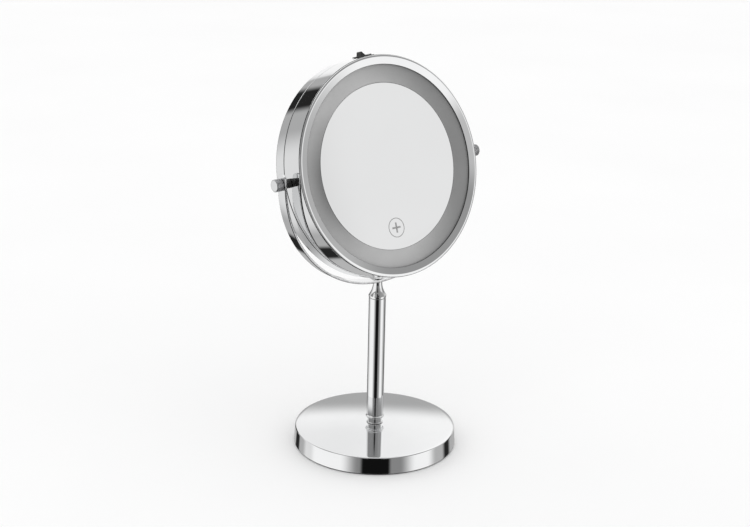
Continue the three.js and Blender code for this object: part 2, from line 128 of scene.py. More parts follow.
def make_object(name, mesh, place, body, replaced=()):
    """Links a mesh made in millimetres, sets it in its frame and lets it ride on its body."""
    mesh.transform(place @ Matrix.Scale(MM, 4))
    piece = bpy.data.objects.new(name, mesh)
    bpy.context.scene.collection.objects.link(piece)
    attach(piece, body)
    made.append(piece)
    if replaced:
        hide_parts(*replaced)
    return piece


def mark_sharp(shape):
    """Smooth faces, with the edges between steep faces kept sharp."""
    for edge in shape.edges:
        edge.smooth = len(edge.link_faces) == 2 and edge.calc_face_angle(0) < SHARP
    for face in shape.faces:
        face.smooth = True


def finish_mesh(name, shape):
    """Turns a bmesh into a smooth mesh with its faces pointing out and sharp edges kept sharp."""
    bmesh.ops.remove_doubles(shape, verts=shape.verts, dist=WELD)
    bmesh.ops.recalc_face_normals(shape, faces=shape.faces)
    mark_sharp(shape)
    mesh = bpy.data.meshes.new(name)
    shape.to_mesh(mesh)
    shape.free()
    return mesh


def join_rings(shape, first, second):
    """A band of four-sided faces between two rings with the same number of points."""
    for i in range(len(first)):
        j = (i + 1) % len(first)
        shape.faces.new((first[i], first[j], second[j], second[i]))


def turned(name, outline, axis, sides, closed=True):
    """A turned mesh. The outline is (radius, height) points about the named axis."""
    shape = bmesh.new()
    rings = []
    for radius, height in outline:
        if radius < TINY:
            around = [(0, 0)]
        else:
            angles = [2 * math.pi * i / sides for i in range(sides)]
            around = [(radius * math.cos(angle), radius * math.sin(angle)) for angle in angles]
        if axis == "y":
            rings.append([shape.verts.new((a, height, b)) for a, b in around])
        elif axis == "z":
            rings.append([shape.verts.new((a, b, height)) for a, b in around])
        else:
            rings.append([shape.verts.new((height, a, b)) for a, b in around])
    pairs = list(zip(rings, rings[1:]))
    if closed:
        pairs.append((rings[-1], rings[0]))
    for first, second in pairs:
        if len(first) == 1 and len(second) == 1:
            continue
        for i in range(sides):
            j = (i + 1) % sides
            if len(first) == 1:
                shape.faces.new((first[0], second[i], second[j]))
            elif len(second) == 1:
                shape.faces.new((first[i], second[0], first[j]))
            else:
                shape.faces.new((first[i], second[i], second[j], first[j]))
    return finish_mesh(name, shape)


def extruded(name, outline, depth):
    """A plate in the XZ plane with its outline as (x, z) points, centred on y = 0."""
    shape = bmesh.new()
    front = [shape.verts.new((x, -depth / 2, z)) for x, z in outline]
    back = [shape.verts.new((x, depth / 2, z)) for x, z in outline]
    shape.faces.new(front)
    shape.faces.new(back[::-1])
    for i in range(len(outline)):
        j = (i + 1) % len(outline)
        shape.faces.new((front[i], back[i], back[j], front[j]))
    return finish_mesh(name, shape)


def rod(axis, radius, start, end):
    """A plain round rod along an axis, for cutting bores."""
    return turned("rod", [(0, start), (radius, start), (radius, end), (0, end)], axis, BORE_SIDES, False)


def block(name, half_length, half_width, start, end):
    """A block centred on the Z axis that runs up it from one height to another."""
    shape = bmesh.new()
    bmesh.ops.create_cube(shape, size=1)
    middle = Matrix.Translation((0, 0, (start + end) / 2))
    size = Matrix.Diagonal((2 * half_length, 2 * half_width, end - start, 1))
    bmesh.ops.transform(shape, matrix=middle @ size, verts=shape.verts)
    return finish_mesh(name, shape)


def combine(piece, tool, operation):
    """Bakes a boolean with a second object into a piece, and removes that object."""
    modifier = piece.modifiers.new("combine", "BOOLEAN")
    modifier.operation = operation
    modifier.solver = "EXACT"
    modifier.object = tool
    apply_modifiers(piece)
    bpy.data.objects.remove(tool)


def cut(piece, *tools):
    """Cuts closed meshes, made in millimetres in their own frames, out of a piece."""
    for mesh, place in tools:
        mesh.transform(place @ Matrix.Scale(MM, 4))
        tool = bpy.data.objects.new("cutter", mesh)
        bpy.context.scene.collection.objects.link(tool)
        combine(piece, tool, "DIFFERENCE")
    sharpen(piece)


def soften(piece, width, segments=3):
    """Rounds the piece's sharp edges by a width in millimetres."""
    modifier = piece.modifiers.new("soften", "BEVEL")
    modifier.width = width * MM
    modifier.segments = segments
    modifier.limit_method = "ANGLE"
    modifier.angle_limit = SHARP
    apply_modifiers(piece)
    sharpen(piece)


def apply_modifiers(piece):
    """Bakes a piece's modifiers into its mesh."""
    bpy.context.view_layer.update()
    graph = bpy.context.evaluated_depsgraph_get()
    baked = bpy.data.meshes.new_from_object(piece.evaluated_get(graph))
    piece.modifiers.clear()
    old = piece.data
    piece.data = baked
    bpy.data.meshes.remove(old)


def sharpen(piece):
    """Marks the sharp edges of a piece again after its mesh has changed."""
    shape = bmesh.new()
    shape.from_mesh(piece.data)
    mark_sharp(shape)
    shape.to_mesh(piece.data)
    shape.free()


# ---- Materials ----

# Noise seldom leaves this range, so ramps run between these two values.
GRAIN_LOW = 0.3
GRAIN_HIGH = 0.7
CHROME_TINTS = (0.845, 0.85, 0.855), (0.885, 0.888, 0.89)


def math_node(tree, operation, *values):
    """The output of a Math node with plain numbers or other nodes' outputs as its values."""
    node = tree.nodes.new("ShaderNodeMath")
    node.operation = operation
    for value, target in zip(values, node.inputs):
        if isinstance(value, (int, float)):
            target.default_value = value
        else:
            tree.links.new(value, target)
    return node.outputs[0]


class Look:
    """A Principled material with procedural detail."""

    def __init__(self, name, **inputs):
        self.material = bpy.data.materials.new(name)
        self.material.use_nodes = True
        self.tree = self.material.node_tree
        self.shader = self.tree.nodes["Principled BSDF"]
        self.place = self.node("TexCoord").outputs["Object"]
        for key, value in inputs.items():
            self.shader.inputs[key.replace("_", " ").title().replace("Ior", "IOR")].default_value = value

    def node(self, kind, **settings):
        node = self.tree.nodes.new("ShaderNode" + kind)
        for key, value in settings.items():
            setattr(node, key, value)
        return node

    def math(self, operation, *values):
        return math_node(self.tree, operation, *values)

    def vector_math(self, operation, source, second=None, output=0):
        """A VectorMath node on one output, with an optional fixed second vector."""
        node = self.node("VectorMath", operation=operation)
        self.link(source, node.inputs[0])
        if second is not None:
            node.inputs[1].default_value = second
        return node.outputs[output]

    def ramp(self, source, low, high, start=GRAIN_LOW, end=GRAIN_HIGH):
        """Colours from low to high as a value goes from start to end."""
        ramp = self.node("ValToRGB")
        elements = ramp.color_ramp.elements
        elements[0].position = start
        elements[1].position = end
        elements[0].color = (*low, 1)
        elements[1].color = (*high, 1)
        self.link(source, ramp.inputs["Fac"])
        return ramp.outputs["Color"]

    def link(self, output, target):
        self.tree.links.new(output, target)

    def noise(self, scale, detail=3, source=None):
        """Noise with its scale in features to the metre."""
        noise = self.node("TexNoise")
        noise.inputs["Scale"].default_value = scale
        noise.inputs["Detail"].default_value = detail
        self.link(source or self.place, noise.inputs["Vector"])
        return noise.outputs["Fac"]

    def tint(self, source, low, high):
        """Spreads the base colour between two colours."""
        self.link(self.ramp(source, low, high), self.shader.inputs["Base Color"])

    def spread(self, source, low, high):
        """Spreads the roughness between two numbers."""
        span = self.node("MapRange")
        span.inputs["From Min"].default_value = GRAIN_LOW
        span.inputs["From Max"].default_value = GRAIN_HIGH
        span.inputs["To Min"].default_value = low
        span.inputs["To Max"].default_value = high
        self.link(source, span.inputs["Value"])
        self.link(span.outputs["Result"], self.shader.inputs["Roughness"])

    def bump(self, source, height, strength=1.0):
        """Bump with its height in millimetres."""
        bump = self.node("Bump")
        bump.inputs["Strength"].default_value = strength
        bump.inputs["Distance"].default_value = height * MM
        self.link(source, bump.inputs["Height"])
        self.link(bump.outputs["Normal"], self.shader.inputs["Normal"])


def chrome_look():
    """Bright chrome with a faint haze of wiping."""
    look = Look("chrome", metallic=1.0)
    look.tint(look.noise(18, 4), *CHROME_TINTS)
    look.spread(look.noise(60, 5), 0.012, 0.04)
    return look.material


def spun_chrome_look():
    """Chrome over a spun cover: faint rings on the top and lines round the rim."""
    look = Look("spun_chrome", metallic=1.0)
    parts = look.node("SeparateXYZ")
    look.link(look.place, parts.inputs[0])
    flat = look.node("CombineXYZ")
    look.link(parts.outputs["X"], flat.inputs["X"])
    look.link(parts.outputs["Y"], flat.inputs["Y"])
    rings = look.node("CombineXYZ")
    look.link(look.vector_math("LENGTH", flat.outputs[0], output="Value"), rings.inputs["X"])
    look.link(parts.outputs["Z"], rings.inputs["Y"])
    lines = look.noise(900, 3, rings.outputs[0])
    look.tint(look.noise(18, 4), *CHROME_TINTS)
    look.spread(lines, 0.02, 0.07)
    look.bump(lines, 0.004, 0.4)
    return look.material


def plain_look(name, low, high, rough, scale=120, bump=0.02, **inputs):
    """A plain material, clouded between two colours, with grain in its roughness and its bump."""
    look = Look(name, **inputs)
    grain = look.noise(scale * 8, 3)
    look.tint(look.noise(scale, 4), low, high)
    look.spread(grain, *rough)
    look.bump(grain, bump)
    return look.material


def mirror_look():
    """Silvered glass, with barely clouded silver."""
    look = Look("silvered_glass", metallic=1.0)
    look.tint(look.noise(12, 3), (0.745, 0.748, 0.75), (0.76, 0.763, 0.765))
    look.spread(look.noise(40, 5), 0.004, 0.014)
    return look.material


def frosted_look():
    """Satin glass ring, with painted light in two lighter wedges and painted shade across its width, leaning to
    one side.
    """
    painted_light_angles, painted_light_falloff = (120, 255), 3
    painted_light_gain, ground_level = 0.75, 0.22
    painted_shade_lean_gain, painted_shade_bend_gain = 0.18, 0.4
    look = Look("frosted_glass", specular_ior_level=0.3)
    away = look.vector_math("SUBTRACT", look.place, HEAD @ Vector((0, LENS_FRONT * MM, 0)))
    unit = look.vector_math("NORMALIZE", away)
    # Painted light: two lighter wedges round the ring.
    painted_light_lobes = []
    for degrees in painted_light_angles:
        angle = math.radians(degrees)
        toward = HEAD.to_3x3() @ Vector((math.cos(angle), 0, math.sin(angle)))
        along = look.vector_math("DOT_PRODUCT", unit, toward, "Value")
        painted_light_lobes.append(look.math("POWER", look.math("MAXIMUM", along, 0), painted_light_falloff))
    level = look.math("MULTIPLY_ADD", look.math("ADD", *painted_light_lobes), painted_light_gain, ground_level)

    # Painted shade across the ring's width, stronger towards one side.
    across = look.node("MapRange")
    across.inputs["From Min"].default_value = MIRROR_RADIUS * MM
    across.inputs["From Max"].default_value = LENS_OUT * MM
    across.inputs["To Min"].default_value = -1
    across.inputs["To Max"].default_value = 1
    look.link(look.vector_math("LENGTH", away, output="Value"), across.inputs["Value"])
    left = look.vector_math("DOT_PRODUCT", unit, (-1, 0, 0), "Value")
    painted_shade_both_sides = look.math("MULTIPLY_ADD", look.math("POWER", left, 2), painted_shade_bend_gain, -painted_shade_bend_gain / 2)
    lean = look.math("MULTIPLY_ADD", left, painted_shade_lean_gain, painted_shade_both_sides)
    share = look.math("MULTIPLY_ADD", lean, across.outputs["Result"], level)

    grain = look.node("Mix", data_type="RGBA", blend_type="MULTIPLY")
    grain.inputs["Factor"].default_value = 1
    look.link(look.ramp(share, (0.17, 0.171, 0.171), (0.45, 0.45, 0.45), 0, 1), grain.inputs["A"])
    look.link(look.ramp(look.noise(45, 5), (0.94, 0.94, 0.94), (1, 1, 1)), grain.inputs["B"])
    look.link(grain.outputs["Result"], look.shader.inputs["Base Color"])
    fine = look.noise(2500, 2)
    look.spread(fine, 0.38, 0.5)
    look.bump(fine, 0.01, 0.5)
    return look.material


CHROME = chrome_look()
SPUN_CHROME = spun_chrome_look()
SHEARED = plain_look("sheared_edge", (0.42, 0.42, 0.425), (0.74, 0.74, 0.745), (0.12, 0.3), 500, 0.05,
                     metallic=1)
# Near-black painted shade for the seam, the bezel's lower inner wall and the yoke's lower outer corners.
PAINTED_SHADE = plain_look("painted_shade", (0.012, 0.012, 0.012), (0.022, 0.022, 0.022), (0.5, 0.7))
ETCHED = plain_look("etched_glass", (0.26, 0.26, 0.26), (0.36, 0.36, 0.36), (0.5, 0.6), 400, 0.01)

# slot: darker colour, lighter colour, range of roughness, and for some the grain's scale and its bump
METALS = {
    "zinc_steel": ((0.5, 0.51, 0.53), (0.62, 0.62, 0.62), (0.25, 0.4)),
    "brass": ((0.62, 0.46, 0.2), (0.72, 0.55, 0.27), (0.2, 0.35)),
    "nickel": ((0.6, 0.6, 0.58), (0.7, 0.7, 0.68), (0.15, 0.3)),
    # knurled_chrome is darker than plain chrome: painted shade and dirt in the knurl's valleys.
    "knurled_chrome": ((0.5, 0.5, 0.51), (0.66, 0.66, 0.67), (0.15, 0.3), 300, 0.01),
}
OTHERS = {
    "black_plastic": ((0.012, 0.012, 0.012), (0.02, 0.02, 0.02), (0.28, 0.4)),
    "white_plastic": ((0.80, 0.80, 0.78), (0.86, 0.86, 0.84), (0.4, 0.5)),
    "cast_iron": ((0.05, 0.052, 0.055), (0.09, 0.09, 0.095), (0.6, 0.8), 90, 0.3),
    "foam": ((0.015, 0.015, 0.016), (0.03, 0.03, 0.031), (0.85, 0.95), 200, 0.15),
    "board": ((0.75, 0.78, 0.75), (0.82, 0.84, 0.82), (0.4, 0.5)),
    "led": ((0.85, 0.72, 0.3), (0.9, 0.78, 0.4), (0.3, 0.4)),
    "cell_label": ((0.05, 0.14, 0.3), (0.07, 0.18, 0.36), (0.25, 0.35)),
    "wire_red": ((0.4, 0.02, 0.015), (0.5, 0.03, 0.02), (0.35, 0.45)),
    "wire_black": ((0.015, 0.015, 0.015), (0.025, 0.025, 0.025), (0.35, 0.45)),
    "wire_white": ((0.75, 0.74, 0.7), (0.82, 0.81, 0.78), (0.35, 0.45)),
}
LOOKS = {"chrome": CHROME, "mirror": mirror_look(), "frosted_glass": frosted_look()}
LOOKS.update({slot: plain_look(slot, *settings, metallic=1) for slot, settings in METALS.items()})
LOOKS.update({slot: plain_look(slot, *settings) for slot, settings in OTHERS.items()})


def dress(piece, slot):
    """Gives a piece the one finish of its slot."""
    piece.data.materials.clear()
    piece.data.materials.append(LOOKS[slot])
    return piece


SLOTS = {row["node"]: row["material_slot"] for row in frame["record"]["subparts"]}
for node, thing in frame["nodes"].items():
    dress(thing, SLOTS[node])


def coat(piece, material, place, inside):
    """Gives a second material to the faces whose middle, in the turned frame's millimetres, passes a test: a
    finish on some pieces, painted shade on others.
    """
    piece.data.materials.append(material)
    back = place.inverted()
    for face in piece.data.polygons:
        if inside(back @ face.center / MM, back.to_3x3() @ face.normal):
            face.material_index = len(piece.data.materials) - 1


def turned_piece(name, node, outline, axis="y", place=HEAD, body="head", sides=RING_SIDES, closed=True):
    """A turned piece that stands for one CAD node and takes that node's finish."""
    mesh = turned(name, outline, axis, sides, closed)
    return dress(make_object(name, mesh, place, body, (node,)), SLOTS[node])


# ---- Stand ----


def base_cover():
    """Spun cover: a low dome round a flat seat, and a turned-down rim with a hemmed edge."""
    low, high = spans("base_cover", STAND)
    outer, bottom, top = high[0], low[2], high[2]
    rim, sheet = outer - 0.9, 1.2
    hole, seat = 3.4, 8.0
    dome_fall = 0.00033
    dome_steps = 36
    shoulder = rim - 1.9

    def height(radius):
        return top - dome_fall * (radius ** 2 - seat ** 2)

    dome = [seat + (shoulder - seat) * i / dome_steps for i in range(dome_steps + 1)]
    rim_height = height(shoulder) - 0.25
    under = [(radius - sheet, height(radius) - sheet, 0) for radius in reversed(dome[4::4])]
    outline = [
        (hole, top, 0), *((radius, height(radius), 0) for radius in dome), (rim, rim_height, 1.5),
        (outer, bottom + 0.5, 0.4), (outer, bottom, 0.2), (outer - 1.4, bottom, 0.2),
        (outer - 1.3, bottom + 0.6, 0.2), (rim - sheet, rim_height - sheet, 0.6), *under,
        (hole, top - sheet, 0),
    ]
    piece = turned_piece("base_cover_shell", "base_cover", rounded(outline), "z", STAND, "stand")
    piece.data.materials[0] = SPUN_CHROME


def stem():
    """Foot with a waist and a bead, plain tube, and a neck that flares down to the tube."""
    low, high = spans("stem_foot", STAND)
    tube_low, tube_high = spans("stem_tube", STAND)
    radius = tube_high[0]
    tube_bore, plug, bolt_hole = 6.0, 5.7, 3.1
    seat, bead_top = low[2], tube_low[2] - 0.12
    waist, bead = high[0] - 1.4, bead_top - 1.7
    foot = [
        (bolt_hole, seat, 0), (waist + 0.6, seat, 0.1), (waist, seat + 0.7, 0.6), (waist, bead - 0.9, 0.5),
        (high[0], bead - 0.75, 0.6), (high[0], bead + 0.75, 0.7), (radius, bead + 1.1, 0.4),
        (radius, bead_top, 0.05), (plug, bead_top, 0.1), (plug, high[2], 0.4), (bolt_hole, high[2], 0.1),
    ]
    turned_piece("stem_foot_turned", "stem_foot", rounded(foot), "z", STAND, "stand", STEM_SIDES)
    tube = [
        (tube_bore, tube_low[2], 0), (radius, tube_low[2], 0.25), (radius, tube_high[2], 0.25),
        (tube_bore, tube_high[2], 0),
    ]
    turned_piece("stem_tube_drawn", "stem_tube", rounded(tube), "z", STAND, "stand", STEM_SIDES)

    neck_low, neck_high = spans("stem_neck", STAND)
    top, foot_line = neck_high[2], tube_high[2] + 0.3
    screw_hole, screw_depth = 2.2, 22
    slim, spread, bend = 3.75, 3.0, 2.2
    flare_top, flare_length, flare_steps = top - 0.3, 10.6, 16
    shares = [i / flare_steps for i in range(flare_steps + 1)]
    flare = [(slim + spread * share ** bend, flare_top - flare_length * share, 0) for share in shares]
    neck = [
        (screw_hole, top, 0), (slim - 0.15, top, 0.2), *flare, (neck_high[0], top - 12.1, 0.8),
        (radius, foot_line, 0.3), (plug, foot_line, 0.1), (plug, neck_low[2], 0.4), (0, neck_low[2], 0),
        (0, top - screw_depth, 0), (screw_hole, top - screw_depth, 0),
    ]
    turned_piece("stem_neck_turned", "stem_neck", rounded(neck), "z", STAND, "stand", STEM_SIDES)


def yoke():
    """Half-round strip with rounded edges, round tips, a bore at each tip and a screw hole below."""
    _, high = spans("yoke", STAND)
    outer, half_width = high[0], high[1]
    rise = high[2] - PIVOT_HEIGHT
    thickness, edge = 2.0, 0.45
    hole_radius = 2.3
    middle = outer - thickness / 2
    straight = rise - half_width
    tip_steps, arc_steps, corner_steps = 14, 200, 3

    # Stations along the strip: a point of its middle line, the way out, and half the width there.
    stations = []
    for i in range(tip_steps + 1):
        back = half_width * (1 - math.sin(math.pi / 2 * i / tip_steps))
        width = math.sqrt(max(half_width ** 2 - back ** 2, 0.02))
        stations.append((Vector((-middle, straight + back)), Vector((-1, 0)), width))
    stations.append((Vector((-middle, straight * 0.5)), Vector((-1, 0)), half_width))
    far_side = [(Vector((-p.x, p.y)), Vector((1, 0)), width) for p, _, width in reversed(stations)]
    for i in range(arc_steps + 1):
        angle = math.pi + math.pi * i / arc_steps
        normal = Vector((math.cos(angle), math.sin(angle)))
        stations.append((normal * middle, normal, half_width))
    stations += far_side

    shape = bmesh.new()
    rings = []
    for point, normal, width in stations:
        section = []
        inset = min(edge, width * 0.8)
        for sign_y, sign_n, start in ((1, 1, 0), (-1, 1, 90), (-1, -1, 180), (1, -1, 270)):
            for step in range(corner_steps + 1):
                angle = math.radians(start + 90 * step / corner_steps)
                y = sign_y * (width - inset) + inset * math.cos(angle)
                out = sign_n * (thickness / 2 - edge) + edge * math.sin(angle)
                section.append((point.x + normal.x * out, y, point.y + normal.y * out + PIVOT_HEIGHT))
        rings.append([shape.verts.new(co) for co in section])
    for first, second in zip(rings, rings[1:]):
        join_rings(shape, first, second)
    shape.faces.new(rings[0])
    shape.faces.new(rings[-1][::-1])
    piece = make_object("yoke_strip", finish_mesh("yoke_strip", shape), STAND, "stand", ("yoke",))

    inside, outside = 90, 105
    bores = [(rod("x", hole_radius, side * inside, side * outside), AT_PIVOT) for side in (-1, 1)]
    hole = rod("z", hole_radius, PIVOT_HEIGHT - outside, PIVOT_HEIGHT - inside)
    cut(piece, *bores, (hole, STAND))
    dress(piece, "chrome")

    corner_start, corner_end = 0.2, 0.97

    def painted_shade_corner(place, normal):
        outward = normal.x * place.x + normal.z * (place.z - PIVOT_HEIGHT)
        return corner_start < abs(normal.y) < corner_end and outward > 0 and place.z < PIVOT_HEIGHT

    coat(piece, SHEARED, STAND, lambda place, normal: abs(normal.y) > corner_end)
    # Painted shade: a near-black line along the strip's lower outer corners.
    coat(piece, PAINTED_SHADE, STAND, painted_shade_corner)


def yoke_screw():
    """Screw with a low domed head and a cross recess."""
    low, high = spans("yoke_screw", STAND)
    shank, crown = 1.95, 2.2
    seat = high[2] - 1.4
    outline = [
        (0, low[2], 0), (shank, low[2], 0.3), (shank, seat, 0), (high[0], seat, 0.1),
        (high[0], seat + 0.6, 0.5), (crown, seat + 1.25, 0.8), (0, high[2], 0),
    ]
    piece = turned_piece("yoke_screw_head", "yoke_screw", rounded(outline, False), "z", STAND, "stand",
                         SMALL_SIDES, False)
    half_length, half_slot, turn = 2.1, 0.42, 25
    recess_floor, above = seat + 0.35, seat + 3
    bars = []
    for degrees in (turn, turn + 90):
        bar = block("bar", half_length, half_slot, recess_floor, above)
        bars.append((bar, Matrix.Rotation(math.radians(degrees), 4, "Z")))
    cut(piece, *bars)


# ---- Head ----


def side_band():
    """Plain band with a step for the rear seam, pivot holes and the switch's slot, and painted shade on its inner
    faces.
    """
    inner, step, lip = DRUM - 1.6, DRUM - 0.9, 0.55
    front = BAND_FRONT - 0.75
    outline = [
        (inner, front, 0), (DRUM, front, 0.15), (DRUM, BAND_BACK - lip, 0.3), (step, BAND_BACK - lip, 0.05),
        (step, BAND_BACK, 0), (inner, BAND_BACK, 0),
    ]
    piece = turned_piece("side_band_ring", "side_band", rounded(outline))
    bore_radius, slot_half_length, slot_half_width = 2.4, 6.8, 4.6
    inside, outside = 80, 95
    bore = rod("x", bore_radius, -outside, outside)
    slot = block("slot", slot_half_length, slot_half_width, inside, outside)
    cut(piece, (bore, HEAD), (slot, HEAD))
    # Painted shade: the faces inside the band are near black, so the seam reads dark.
    edge = DRUM - 0.35
    coat(piece, PAINTED_SHADE, HEAD, lambda place, normal: math.hypot(place.x, place.z) < edge)


def front_bezel():
    """Sloping face with a bright rounded outer corner, and painted shade on the lower inner wall and behind the
    seam.
    """
    skirt_out, skirt_in = DRUM - 1.9, DRUM - 3.3
    seam = BAND_FRONT - 1.15
    lip = LENS_FRONT - 0.3
    wall_edge = BEZEL_IN + 0.12
    shade_rise, shade_height = 0.25, -8
    outline = [
        (BEZEL_IN, BEZEL_FRONT + 1.3, 0.15), (BEZEL_OUT - 1.7, BEZEL_FRONT, 4.0),
        (BEZEL_OUT - 0.3, BEZEL_FRONT + 0.4, 0.9), (BEZEL_OUT, seam, 0.15),
        (skirt_out, seam, 0.1), (skirt_out, BEZEL_END, 0.3), (skirt_in, BEZEL_END, 0.3),
        (skirt_in, lip, 0.1), (BEZEL_IN, lip, 0.1),
    ]
    piece = turned_piece("front_bezel_ring", "front_bezel", rounded(outline))

    def gets_painted_shade(place, normal):
        """Painted shade: the lower part of the inner wall, and what lies behind the seam."""
        radius = math.hypot(place.x, place.z)
        lower_wall = radius < wall_edge and place.z < shade_rise * place.x + shade_height
        behind_seam = place.y > seam - 0.05 and radius < BEZEL_OUT - 0.3
        return lower_wall or behind_seam

    # Near-black painted shade on those faces.
    coat(piece, PAINTED_SHADE, HEAD, gets_painted_shade)


# The front mirror and the frosted ring share one hollow, as a ball of this radius would leave.
DISH_RADIUS = 750
DISH_DEPTH = ring_span("front_mirror")[2] + MIRROR_RADIUS ** 2 / (2 * DISH_RADIUS)


def dish(radius):
    """How far back the hollow lies at a distance from the drum's axis."""
    return DISH_DEPTH - radius ** 2 / (2 * DISH_RADIUS)


def optics():
    """Hollow magnifying mirror, and the frosted ring that carries its curve on."""
    thickness = MIRROR_BACK - DISH_DEPTH
    mirror_steps, ring_steps = 24, 10
    radii = [MIRROR_RADIUS * i / mirror_steps for i in range(mirror_steps)]
    front = [(radius, dish(radius), 0) for radius in radii]
    back = [(radius, height + thickness, 0) for radius, height, _ in reversed(front)]
    edge = dish(MIRROR_RADIUS)
    outline = [*front, (MIRROR_RADIUS, edge, 0.35), (MIRROR_RADIUS, edge + thickness, 0.35), *back]
    turned_piece("front_mirror_glass", "front_mirror", rounded(outline, False), closed=False)

    thickness = LENS_BACK - dish(LENS_IN)
    inner = MIRROR_RADIUS + 0.08
    radii = [inner + (LENS_OUT - inner) * i / ring_steps for i in range(ring_steps + 1)]
    front = [(radius, dish(radius), 0.3 if i in (0, ring_steps) else 0) for i, radius in enumerate(radii)]
    back = [(radius, height + thickness, fillet) for radius, height, fillet in reversed(front)]
    turned_piece("frosted_ring_glass", "frosted_ring", rounded([*front, *back]))


def rear_cover():
    """Rear rim with a rolled edge, and the plain glass in it."""
    inner = DRUM - 1.6
    outline = [
        (inner, REAR_FRONT, 0.1), (REAR_OUT, REAR_FRONT, 0.3), (REAR_OUT, REAR_BACK, 2.6),
        (REAR_OUT - 3.5, REAR_BACK, 1.5), (REAR_IN, REAR_BACK - 1.1, 0.35), (REAR_IN, REAR_BACK - 1.8, 0.2),
        (inner - 1, REAR_BACK - 1.8, 0.1), (inner, REAR_BACK - 3.2, 0.1),
    ]
    turned_piece("rear_bezel_ring", "rear_bezel", rounded(outline), body="rear_cover")
    _, radius, front, back = ring_span("rear_mirror")
    glass = [(0, front, 0), (radius, front, 0.4), (radius, back, 0.4), (0, back, 0)]
    turned_piece("rear_mirror_glass", "rear_mirror", rounded(glass, False), body="rear_cover", closed=False)


def switch():
    """Flange bent to the drum, its housing, and a rocker with a hollow top that leans on its pivot."""
    low, high = spans("switch_body")
    flange_top, flange_low = high[2], DRUM + 0.3
    reach = high[0]
    steps = 12
    outline = []
    for radius, order in ((flange_top, 1), (flange_low, -1)):
        for i in range(steps + 1):
            x = order * reach * (1 - 2 * i / steps)
            outline.append((x, math.sqrt(radius ** 2 - x ** 2)))
    flange = extruded("switch_body_case", outline, high[1] - low[1])
    piece = make_object("switch_body_case", flange, HEAD, "head", ("switch_body",))
    soften(piece, 0.3)
    half_length, half_width, base = 6.4, 4.2, 78
    housing = block("housing", half_length, half_width, base, flange_low + 0.3)
    joined = make_object("switch_housing", housing, HEAD, "head")
    made.remove(joined)
    combine(piece, joined, "UNION")
    pocket_half_length, pocket_half_width, pocket_floor, outside = 6.1, 3.7, 84.6, 99
    pocket = block("pocket", pocket_half_length, pocket_half_width, pocket_floor, outside)
    cut(piece, (pocket, HEAD))
    dress(piece, "black_plastic")
    rocker()


def rocker():
    """Rocker button: high at both ends, hollow between them, with a keel that turns in the housing."""
    half, end_height, hollow, width, lean = 5.0, 4.5, 2.35, 6.8, 15
    steps = 20
    top = []
    for i in range(steps + 1):
        x = half - 2 * half * i / steps
        top.append((x, hollow + (end_height - hollow) * abs(x / half) ** 1.5))
    keel = [(-half, 0.2), (-3.6, -1.4), (-2, -2.6), (2, -2.6), (3.6, -1.4), (half, 0.2)]
    mesh = extruded("rocker_button", [*top, *keel], width)
    mesh.transform(Matrix.Rotation(math.radians(lean), 4, "Y"))
    button = make_object("rocker_button", mesh, ROCKER, "rocker", ("rocker",))
    soften(button, 0.3)
    dress(button, "black_plastic")


def side_name(side):
    return "left" if side < 0 else "right"


def side_span(node):
    """Near end, far end and radius of a round part on the pivots' line."""
    low, high = spans(node)
    near, far = sorted((abs(low[0]), abs(high[0])))
    return near, far, high[2]


def knob(side):
    """Knurled knob with a chamfer at each end, a dished outer face and a blind bore."""
    node = f"{side_name(side)}_knob"
    near, far, radius = side_span(node)
    around, along_steps = 288, 44
    chamfer, bore_radius = 0.55, 2.2
    teeth, depth, steepness = 36, 0.32, 1.6
    pitch = 2 * math.pi * radius / teeth
    shape = bmesh.new()

    def ring(place, make_radius):
        """A ring of points at a place on the axis, with its radius from the angle and the place."""
        verts = []
        for i in range(around):
            angle = 2 * math.pi * i / around
            r = make_radius(angle, place)
            verts.append(shape.verts.new((side * place, r * math.cos(angle), r * math.sin(angle))))
        return verts

    def knurl(angle, place):
        """Pyramids between two sets of crossing grooves."""
        turn = teeth * angle / (2 * math.pi)
        along = (place - near) / pitch
        waves = [1 - 2 * abs((turn + along) % 1 - 0.5), 1 - 2 * abs((turn - along) % 1 - 0.5)]
        return radius - depth + depth * min(min(waves) * steepness, 1)

    def round_ring(place, size):
        return ring(place, lambda angle, place: size)

    rings = [round_ring(near, bore_radius), round_ring(near, radius - chamfer)]
    start, end = near + chamfer, far - chamfer
    for i in range(along_steps + 1):
        rings.append(ring(start + (end - start) * i / along_steps, knurl))
    outer_face = [
        (far - 0.12, radius - 0.45), (far, radius - 0.62), (far, radius - 1.0), (far - 0.08, radius - 1.1),
        (far - 0.08, 1.2),
    ]
    rings += [round_ring(place, size) for place, size in outer_face]
    for first, second in zip(rings, rings[1:]):
        join_rings(shape, first, second)
    shape.faces.new(rings[-1])
    bore = round_ring(far - 1.5, bore_radius)
    join_rings(shape, bore, rings[0])
    shape.faces.new(bore[::-1])
    piece = make_object(f"{node}_knurled", finish_mesh(node, shape), HEAD, node, (node,))
    dress(piece, "knurled_chrome")

    def end_face(place, normal):
        return abs(normal.x) > 0.6 and abs(place.x) > far - chamfer - 0.1

    coat(piece, CHROME, HEAD, end_face)


def spacer(side):
    """Round spacer between the yoke and the drum, with a groove near its outer end."""
    node = f"{side_name(side)}_spacer"
    near, far, radius = side_span(node)
    bore_radius, groove = 2.2, radius - 0.7
    outline = [
        (bore_radius, near, 0), (radius, near, 0.3), (radius, far - 1.9, 0.3), (groove, far - 1.55, 0.1),
        (groove, far - 1.15, 0.1), (radius, far - 0.8, 0.3), (radius, far, 0.3), (bore_radius, far, 0),
    ]
    outline = [(distance, side * place, fillet) for distance, place, fillet in outline]
    turned_piece(f"{node}_turned", node, rounded(outline), "x", sides=SMALL_SIDES)


